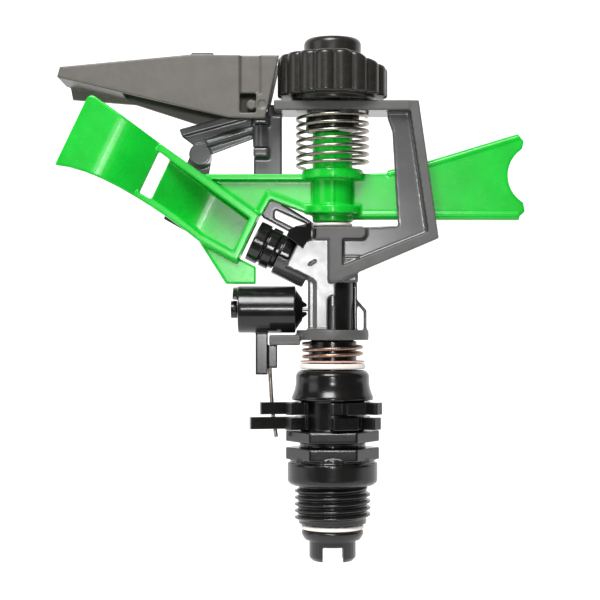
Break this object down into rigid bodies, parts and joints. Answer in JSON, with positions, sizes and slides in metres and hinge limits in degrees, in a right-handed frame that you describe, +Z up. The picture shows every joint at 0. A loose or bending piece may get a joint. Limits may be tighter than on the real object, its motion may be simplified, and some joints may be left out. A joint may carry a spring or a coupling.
{
  "type": "impact sprinkler",
  "caption": "Part-circle plastic impact sprinkler: threaded base, turning head with nozzle, sprung arm with spoon, deflector flap, trip gear and stop collars.",
  "frame": {"origin": "on the spin axis, at the underside of the shoulder above the inlet thread", "axes": "+Z up along the spin axis, the jet leaves towards -X, -Y is the side that shows the spoon's channel"},
  "size_m": [0.1276, 0.0298, 0.1433],
  "materials": {
    "black_plastic": "moulded black acetal, semi-gloss",
    "grey_plastic": "moulded grey glass-filled nylon, satin",
    "warm_grey_plastic": "moulded warm grey plastic, satin",
    "green_plastic": "moulded green polypropylene, semi-gloss",
    "white_washer": "white fluoropolymer, matt",
    "amber_washer": "pale amber washer, matt",
    "steel": "drawn stainless spring steel",
    "copper_wire": "drawn copper-coloured spring wire"
  },
  "bodies": {
    "base": {"threaded_base": "black_plastic", "lower_washer": "white_washer", "upper_washer": "white_washer"},
    "head": {"stem_tube": "black_plastic", "head_casting": "grey_plastic", "nozzle": "black_plastic", "nozzle_keeper": "black_plastic", "arm_pin": "steel", "arm_washer": "white_washer", "spring_bush": "black_plastic", "slip_washer": "amber_washer", "seal_spring": "copper_wire", "arm_spring": "steel", "deflector_pin": "steel", "hook_pin": "black_plastic", "rocker_pin": "steel"},
    "arm": {"arm": "green_plastic"},
    "knob": {"knob": "black_plastic"},
    "deflector": {"deflector": "warm_grey_plastic"},
    "trip_rocker": {"trip_rocker": "black_plastic", "rocker_cap": "black_plastic", "trip_wire": "steel"},
    "reversing_arm": {"reversing_arm": "grey_plastic"},
    "upper_collar": {"upper_collar": "black_plastic"},
    "lower_collar": {"lower_collar": "black_plastic"}
  },
  "joints": [
    {"name": "head_spin", "type": "hinge", "parent": "base", "child": "head", "pos_m": [0, 0, 0.03], "axis": [0, 0, 1], "range_deg": [-330, 0]},
    {"name": "arm_swing", "type": "hinge", "parent": "head", "child": "arm", "pos_m": [0, 0, 0.08], "axis": [0, 0, 1], "range_deg": [0, 120], "stiffness_Nm_per_rad": 0.004, "springref_deg": -28.65},
    {"name": "knob_turn", "type": "hinge", "parent": "head", "child": "knob", "pos_m": [0, 0, 0.11], "axis": [0, 0, 1], "range_deg": [0, 180]},
    {"name": "deflector_tilt", "type": "hinge", "parent": "head", "child": "deflector", "pos_m": [-0.0192, 0, 0.1032], "axis": [0, 1, 0], "range_deg": [-10, 0]},
    {"name": "trip_flip", "type": "hinge", "parent": "head", "child": "trip_rocker", "pos_m": [-0.018, 0, 0.048], "axis": [1, 0, 0], "range_deg": [0, 20]},
    {"name": "reversing_swing", "type": "hinge", "parent": "head", "child": "reversing_arm", "pos_m": [-0.0197, -0.0012, 0.095], "axis": [0, 0, 1], "range_deg": [-6, 0]},
    {"name": "upper_collar_turn", "type": "hinge", "parent": "base", "child": "upper_collar", "pos_m": [0, 0, 0.021], "axis": [0, 0, 1], "range_deg": [0, 120]},
    {"name": "lower_collar_turn", "type": "hinge", "parent": "base", "child": "lower_collar", "pos_m": [0, 0, 0.017], "axis": [0, 0, 1], "range_deg": [0, 120]}
  ],
  "couplings": [
    {"joint": "deflector_tilt", "follows": "knob_turn", "ratio": -0.0555},
    {"joint": "reversing_swing", "follows": "trip_flip", "ratio": -0.29}
  ]
}
